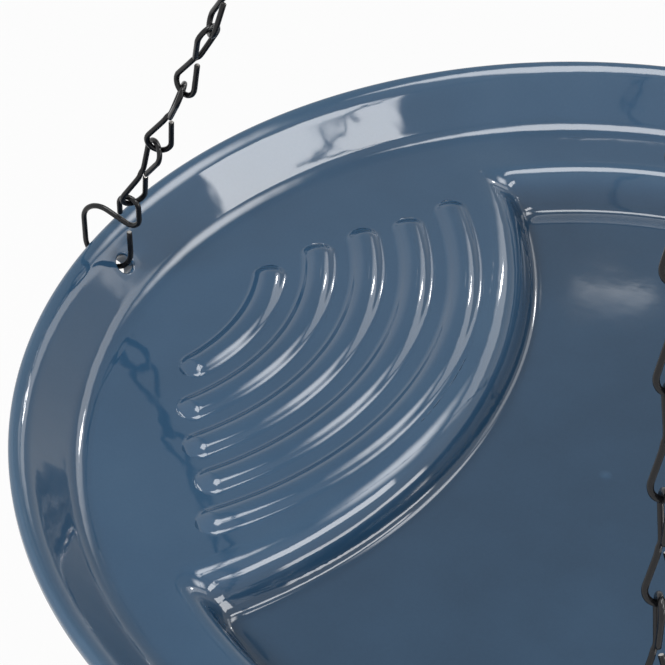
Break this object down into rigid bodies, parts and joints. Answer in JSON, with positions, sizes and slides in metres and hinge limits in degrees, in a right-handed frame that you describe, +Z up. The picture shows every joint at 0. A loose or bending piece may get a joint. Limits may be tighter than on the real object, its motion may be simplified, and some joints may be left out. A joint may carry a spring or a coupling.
{
  "type": "bird waterer",
  "caption": "Round glazed ceramic hanging dish with a flared rim, a ribbed perching ledge and a sunken well, hung level from wire-link chains on a ring and a hook.",
  "frame": {"origin": "the point inside the hanging hook's upper bend where it bears on its support, on the dish's axis", "axes": "+Z up along the dish's axis, +X away from the perching ledge, +Y to complete a right-handed set; the dish is symmetrical about the XZ plane"},
  "size_m": [0.3033, 0.3, 0.4612],
  "materials": {
    "glaze": "gloss slate-blue glaze",
    "chain_wire": "black lacquered steel wire with bare cut ends",
    "ring_wire": "black lacquered steel wire"
  },
  "bodies": {
    "hanger": {"hanging_hook": "ring_wire"},
    "ring": {"top_ring": "ring_wire"},
    "dish": {"dish": "glaze"},
    "rim_hook_a": {"rim_hook_a": "chain_wire"},
    "chain_a_link_01": {"chain_a_link_01": "chain_wire"},
    "chain_a_link_02": {"chain_a_link_02": "chain_wire"},
    "chain_a_link_03": {"chain_a_link_03": "chain_wire"},
    "chain_a_link_04": {"chain_a_link_04": "chain_wire"},
    "chain_a_link_05": {"chain_a_link_05": "chain_wire"},
    "chain_a_link_06": {"chain_a_link_06": "chain_wire"},
    "chain_a_link_07": {"chain_a_link_07": "chain_wire"},
    "chain_a_link_08": {"chain_a_link_08": "chain_wire"},
    "chain_a_link_09": {"chain_a_link_09": "chain_wire"},
    "chain_a_link_10": {"chain_a_link_10": "chain_wire"},
    "chain_a_link_11": {"chain_a_link_11": "chain_wire"},
    "chain_a_link_12": {"chain_a_link_12": "chain_wire"},
    "chain_a_link_13": {"chain_a_link_13": "chain_wire"},
    "chain_a_link_14": {"chain_a_link_14": "chain_wire"},
    "chain_a_link_15": {"chain_a_link_15": "chain_wire"},
    "chain_a_link_16": {"chain_a_link_16": "chain_wire"},
    "rim_hook_b": {"rim_hook_b": "chain_wire"},
    "chain_b_link_01": {"chain_b_link_01": "chain_wire"},
    "chain_b_link_02": {"chain_b_link_02": "chain_wire"},
    "chain_b_link_03": {"chain_b_link_03": "chain_wire"},
    "chain_b_link_04": {"chain_b_link_04": "chain_wire"},
    "chain_b_link_05": {"chain_b_link_05": "chain_wire"},
    "chain_b_link_06": {"chain_b_link_06": "chain_wire"},
    "chain_b_link_07": {"chain_b_link_07": "chain_wire"},
    "chain_b_link_08": {"chain_b_link_08": "chain_wire"},
    "chain_b_link_09": {"chain_b_link_09": "chain_wire"},
    "chain_b_link_10": {"chain_b_link_10": "chain_wire"},
    "chain_b_link_11": {"chain_b_link_11": "chain_wire"},
    "chain_b_link_12": {"chain_b_link_12": "chain_wire"},
    "chain_b_link_13": {"chain_b_link_13": "chain_wire"},
    "chain_b_link_14": {"chain_b_link_14": "chain_wire"},
    "chain_b_link_15": {"chain_b_link_15": "chain_wire"},
    "chain_b_link_16": {"chain_b_link_16": "chain_wire"},
    "rim_hook_c": {"rim_hook_c": "chain_wire"},
    "chain_c_link_01": {"chain_c_link_01": "chain_wire"},
    "chain_c_link_02": {"chain_c_link_02": "chain_wire"},
    "chain_c_link_03": {"chain_c_link_03": "chain_wire"},
    "chain_c_link_04": {"chain_c_link_04": "chain_wire"},
    "chain_c_link_05": {"chain_c_link_05": "chain_wire"},
    "chain_c_link_06": {"chain_c_link_06": "chain_wire"},
    "chain_c_link_07": {"chain_c_link_07": "chain_wire"},
    "chain_c_link_08": {"chain_c_link_08": "chain_wire"},
    "chain_c_link_09": {"chain_c_link_09": "chain_wire"},
    "chain_c_link_10": {"chain_c_link_10": "chain_wire"},
    "chain_c_link_11": {"chain_c_link_11": "chain_wire"},
    "chain_c_link_12": {"chain_c_link_12": "chain_wire"},
    "chain_c_link_13": {"chain_c_link_13": "chain_wire"},
    "chain_c_link_14": {"chain_c_link_14": "chain_wire"},
    "chain_c_link_15": {"chain_c_link_15": "chain_wire"},
    "chain_c_link_16": {"chain_c_link_16": "chain_wire"}
  },
  "joints": [
    {"name": "ring_swing", "type": "hinge", "parent": "hanger", "child": "ring", "pos_m": [0, 0, -0.0615], "axis": [1, 0, 0], "range_deg": [-25, 25]},
    {"name": "dish_swing", "type": "hinge", "parent": "ring", "child": "dish", "pos_m": [0, 0, -0.0822], "axis": [0, 1, 0], "range_deg": [-25, 25]},
    {"name": "rim_hook_a_turn", "type": "hinge", "parent": "dish", "child": "rim_hook_a", "pos_m": [-0.13816, 0, -0.41512], "axis": [0.3833, 0, 0.9236], "range_deg": [-5, 5]},
    {"name": "chain_a_link_01_turn", "type": "hinge", "parent": "dish", "child": "chain_a_link_01", "pos_m": [-0.13816, 0, -0.41512], "axis": [0.3833, 0, 0.9236], "range_deg": [-4, 4]},
    {"name": "chain_a_link_02_turn", "type": "hinge", "parent": "dish", "child": "chain_a_link_02", "pos_m": [-0.13816, 0, -0.41512], "axis": [0.3833, 0, 0.9236], "range_deg": [-4, 4]},
    {"name": "chain_a_link_03_turn", "type": "hinge", "parent": "dish", "child": "chain_a_link_03", "pos_m": [-0.13816, 0, -0.41512], "axis": [0.3833, 0, 0.9236], "range_deg": [-4, 4]},
    {"name": "chain_a_link_04_turn", "type": "hinge", "parent": "dish", "child": "chain_a_link_04", "pos_m": [-0.13816, 0, -0.41512], "axis": [0.3833, 0, 0.9236], "range_deg": [-4, 4]},
    {"name": "chain_a_link_05_turn", "type": "hinge", "parent": "dish", "child": "chain_a_link_05", "pos_m": [-0.13816, 0, -0.41512], "axis": [0.3833, 0, 0.9236], "range_deg": [-4, 4]},
    {"name": "chain_a_link_06_turn", "type": "hinge", "parent": "dish", "child": "chain_a_link_06", "pos_m": [-0.13816, 0, -0.41512], "axis": [0.3833, 0, 0.9236], "range_deg": [-4, 4]},
    {"name": "chain_a_link_07_turn", "type": "hinge", "parent": "dish", "child": "chain_a_link_07", "pos_m": [-0.13816, 0, -0.41512], "axis": [0.3833, 0, 0.9236], "range_deg": [-4, 4]},
    {"name": "chain_a_link_08_turn", "type": "hinge", "parent": "dish", "child": "chain_a_link_08", "pos_m": [-0.13816, 0, -0.41512], "axis": [0.3833, 0, 0.9236], "range_deg": [-4, 4]},
    {"name": "chain_a_link_09_turn", "type": "hinge", "parent": "dish", "child": "chain_a_link_09", "pos_m": [-0.13816, 0, -0.41512], "axis": [0.3833, 0, 0.9236], "range_deg": [-4, 4]},
    {"name": "chain_a_link_10_turn", "type": "hinge", "parent": "dish", "child": "chain_a_link_10", "pos_m": [-0.13816, 0, -0.41512], "axis": [0.3833, 0, 0.9236], "range_deg": [-4, 4]},
    {"name": "chain_a_link_11_turn", "type": "hinge", "parent": "dish", "child": "chain_a_link_11", "pos_m": [-0.13816, 0, -0.41512], "axis": [0.3833, 0, 0.9236], "range_deg": [-4, 4]},
    {"name": "chain_a_link_12_turn", "type": "hinge", "parent": "dish", "child": "chain_a_link_12", "pos_m": [-0.13816, 0, -0.41512], "axis": [0.3833, 0, 0.9236], "range_deg": [-4, 4]},
    {"name": "chain_a_link_13_turn", "type": "hinge", "parent": "dish", "child": "chain_a_link_13", "pos_m": [-0.13816, 0, -0.41512], "axis": [0.3833, 0, 0.9236], "range_deg": [-4, 4]},
    {"name": "chain_a_link_14_turn", "type": "hinge", "parent": "dish", "child": "chain_a_link_14", "pos_m": [-0.13816, 0, -0.41512], "axis": [0.3833, 0, 0.9236], "range_deg": [-4, 4]},
    {"name": "chain_a_link_15_turn", "type": "hinge", "parent": "dish", "child": "chain_a_link_15", "pos_m": [-0.13816, 0, -0.41512], "axis": [0.3833, 0, 0.9236], "range_deg": [-4, 4]},
    {"name": "chain_a_link_16_turn", "type": "hinge", "parent": "dish", "child": "chain_a_link_16", "pos_m": [-0.13816, 0, -0.41512], "axis": [0.3833, 0, 0.9236], "range_deg": [-4, 4]},
    {"name": "rim_hook_b_turn", "type": "hinge", "parent": "dish", "child": "rim_hook_b", "pos_m": [0.05839, -0.12521, -0.41512], "axis": [-0.1623, 0.3367, 0.9275], "range_deg": [-5, 5]},
    {"name": "chain_b_link_01_turn", "type": "hinge", "parent": "dish", "child": "chain_b_link_01", "pos_m": [0.05839, -0.12521, -0.41512], "axis": [-0.1623, 0.3367, 0.9275], "range_deg": [-4, 4]},
    {"name": "chain_b_link_02_turn", "type": "hinge", "parent": "dish", "child": "chain_b_link_02", "pos_m": [0.05839, -0.12521, -0.41512], "axis": [-0.1623, 0.3367, 0.9275], "range_deg": [-4, 4]},
    {"name": "chain_b_link_03_turn", "type": "hinge", "parent": "dish", "child": "chain_b_link_03", "pos_m": [0.05839, -0.12521, -0.41512], "axis": [-0.1623, 0.3367, 0.9275], "range_deg": [-4, 4]},
    {"name": "chain_b_link_04_turn", "type": "hinge", "parent": "dish", "child": "chain_b_link_04", "pos_m": [0.05839, -0.12521, -0.41512], "axis": [-0.1623, 0.3367, 0.9275], "range_deg": [-4, 4]},
    {"name": "chain_b_link_05_turn", "type": "hinge", "parent": "dish", "child": "chain_b_link_05", "pos_m": [0.05839, -0.12521, -0.41512], "axis": [-0.1623, 0.3367, 0.9275], "range_deg": [-4, 4]},
    {"name": "chain_b_link_06_turn", "type": "hinge", "parent": "dish", "child": "chain_b_link_06", "pos_m": [0.05839, -0.12521, -0.41512], "axis": [-0.1623, 0.3367, 0.9275], "range_deg": [-4, 4]},
    {"name": "chain_b_link_07_turn", "type": "hinge", "parent": "dish", "child": "chain_b_link_07", "pos_m": [0.05839, -0.12521, -0.41512], "axis": [-0.1623, 0.3367, 0.9275], "range_deg": [-4, 4]},
    {"name": "chain_b_link_08_turn", "type": "hinge", "parent": "dish", "child": "chain_b_link_08", "pos_m": [0.05839, -0.12521, -0.41512], "axis": [-0.1623, 0.3367, 0.9275], "range_deg": [-4, 4]},
    {"name": "chain_b_link_09_turn", "type": "hinge", "parent": "dish", "child": "chain_b_link_09", "pos_m": [0.05839, -0.12521, -0.41512], "axis": [-0.1623, 0.3367, 0.9275], "range_deg": [-4, 4]},
    {"name": "chain_b_link_10_turn", "type": "hinge", "parent": "dish", "child": "chain_b_link_10", "pos_m": [0.05839, -0.12521, -0.41512], "axis": [-0.1623, 0.3367, 0.9275], "range_deg": [-4, 4]},
    {"name": "chain_b_link_11_turn", "type": "hinge", "parent": "dish", "child": "chain_b_link_11", "pos_m": [0.05839, -0.12521, -0.41512], "axis": [-0.1623, 0.3367, 0.9275], "range_deg": [-4, 4]},
    {"name": "chain_b_link_12_turn", "type": "hinge", "parent": "dish", "child": "chain_b_link_12", "pos_m": [0.05839, -0.12521, -0.41512], "axis": [-0.1623, 0.3367, 0.9275], "range_deg": [-4, 4]},
    {"name": "chain_b_link_13_turn", "type": "hinge", "parent": "dish", "child": "chain_b_link_13", "pos_m": [0.05839, -0.12521, -0.41512], "axis": [-0.1623, 0.3367, 0.9275], "range_deg": [-4, 4]},
    {"name": "chain_b_link_14_turn", "type": "hinge", "parent": "dish", "child": "chain_b_link_14", "pos_m": [0.05839, -0.12521, -0.41512], "axis": [-0.1623, 0.3367, 0.9275], "range_deg": [-4, 4]},
    {"name": "chain_b_link_15_turn", "type": "hinge", "parent": "dish", "child": "chain_b_link_15", "pos_m": [0.05839, -0.12521, -0.41512], "axis": [-0.1623, 0.3367, 0.9275], "range_deg": [-4, 4]},
    {"name": "chain_b_link_16_turn", "type": "hinge", "parent": "dish", "child": "chain_b_link_16", "pos_m": [0.05839, -0.12521, -0.41512], "axis": [-0.1623, 0.3367, 0.9275], "range_deg": [-4, 4]},
    {"name": "rim_hook_c_turn", "type": "hinge", "parent": "dish", "child": "rim_hook_c", "pos_m": [0.05839, 0.12521, -0.41512], "axis": [-0.1623, -0.3367, 0.9275], "range_deg": [-5, 5]},
    {"name": "chain_c_link_01_turn", "type": "hinge", "parent": "dish", "child": "chain_c_link_01", "pos_m": [0.05839, 0.12521, -0.41512], "axis": [-0.1623, -0.3367, 0.9275], "range_deg": [-4, 4]},
    {"name": "chain_c_link_02_turn", "type": "hinge", "parent": "dish", "child": "chain_c_link_02", "pos_m": [0.05839, 0.12521, -0.41512], "axis": [-0.1623, -0.3367, 0.9275], "range_deg": [-4, 4]},
    {"name": "chain_c_link_03_turn", "type": "hinge", "parent": "dish", "child": "chain_c_link_03", "pos_m": [0.05839, 0.12521, -0.41512], "axis": [-0.1623, -0.3367, 0.9275], "range_deg": [-4, 4]},
    {"name": "chain_c_link_04_turn", "type": "hinge", "parent": "dish", "child": "chain_c_link_04", "pos_m": [0.05839, 0.12521, -0.41512], "axis": [-0.1623, -0.3367, 0.9275], "range_deg": [-4, 4]},
    {"name": "chain_c_link_05_turn", "type": "hinge", "parent": "dish", "child": "chain_c_link_05", "pos_m": [0.05839, 0.12521, -0.41512], "axis": [-0.1623, -0.3367, 0.9275], "range_deg": [-4, 4]},
    {"name": "chain_c_link_06_turn", "type": "hinge", "parent": "dish", "child": "chain_c_link_06", "pos_m": [0.05839, 0.12521, -0.41512], "axis": [-0.1623, -0.3367, 0.9275], "range_deg": [-4, 4]},
    {"name": "chain_c_link_07_turn", "type": "hinge", "parent": "dish", "child": "chain_c_link_07", "pos_m": [0.05839, 0.12521, -0.41512], "axis": [-0.1623, -0.3367, 0.9275], "range_deg": [-4, 4]},
    {"name": "chain_c_link_08_turn", "type": "hinge", "parent": "dish", "child": "chain_c_link_08", "pos_m": [0.05839, 0.12521, -0.41512], "axis": [-0.1623, -0.3367, 0.9275], "range_deg": [-4, 4]},
    {"name": "chain_c_link_09_turn", "type": "hinge", "parent": "dish", "child": "chain_c_link_09", "pos_m": [0.05839, 0.12521, -0.41512], "axis": [-0.1623, -0.3367, 0.9275], "range_deg": [-4, 4]},
    {"name": "chain_c_link_10_turn", "type": "hinge", "parent": "dish", "child": "chain_c_link_10", "pos_m": [0.05839, 0.12521, -0.41512], "axis": [-0.1623, -0.3367, 0.9275], "range_deg": [-4, 4]},
    {"name": "chain_c_link_11_turn", "type": "hinge", "parent": "dish", "child": "chain_c_link_11", "pos_m": [0.05839, 0.12521, -0.41512], "axis": [-0.1623, -0.3367, 0.9275], "range_deg": [-4, 4]},
    {"name": "chain_c_link_12_turn", "type": "hinge", "parent": "dish", "child": "chain_c_link_12", "pos_m": [0.05839, 0.12521, -0.41512], "axis": [-0.1623, -0.3367, 0.9275], "range_deg": [-4, 4]},
    {"name": "chain_c_link_13_turn", "type": "hinge", "parent": "dish", "child": "chain_c_link_13", "pos_m": [0.05839, 0.12521, -0.41512], "axis": [-0.1623, -0.3367, 0.9275], "range_deg": [-4, 4]},
    {"name": "chain_c_link_14_turn", "type": "hinge", "parent": "dish", "child": "chain_c_link_14", "pos_m": [0.05839, 0.12521, -0.41512], "axis": [-0.1623, -0.3367, 0.9275], "range_deg": [-4, 4]},
    {"name": "chain_c_link_15_turn", "type": "hinge", "parent": "dish", "child": "chain_c_link_15", "pos_m": [0.05839, 0.12521, -0.41512], "axis": [-0.1623, -0.3367, 0.9275], "range_deg": [-4, 4]},
    {"name": "chain_c_link_16_turn", "type": "hinge", "parent": "dish", "child": "chain_c_link_16", "pos_m": [0.05839, 0.12521, -0.41512], "axis": [-0.1623, -0.3367, 0.9275], "range_deg": [-4, 4]}
  ]
}
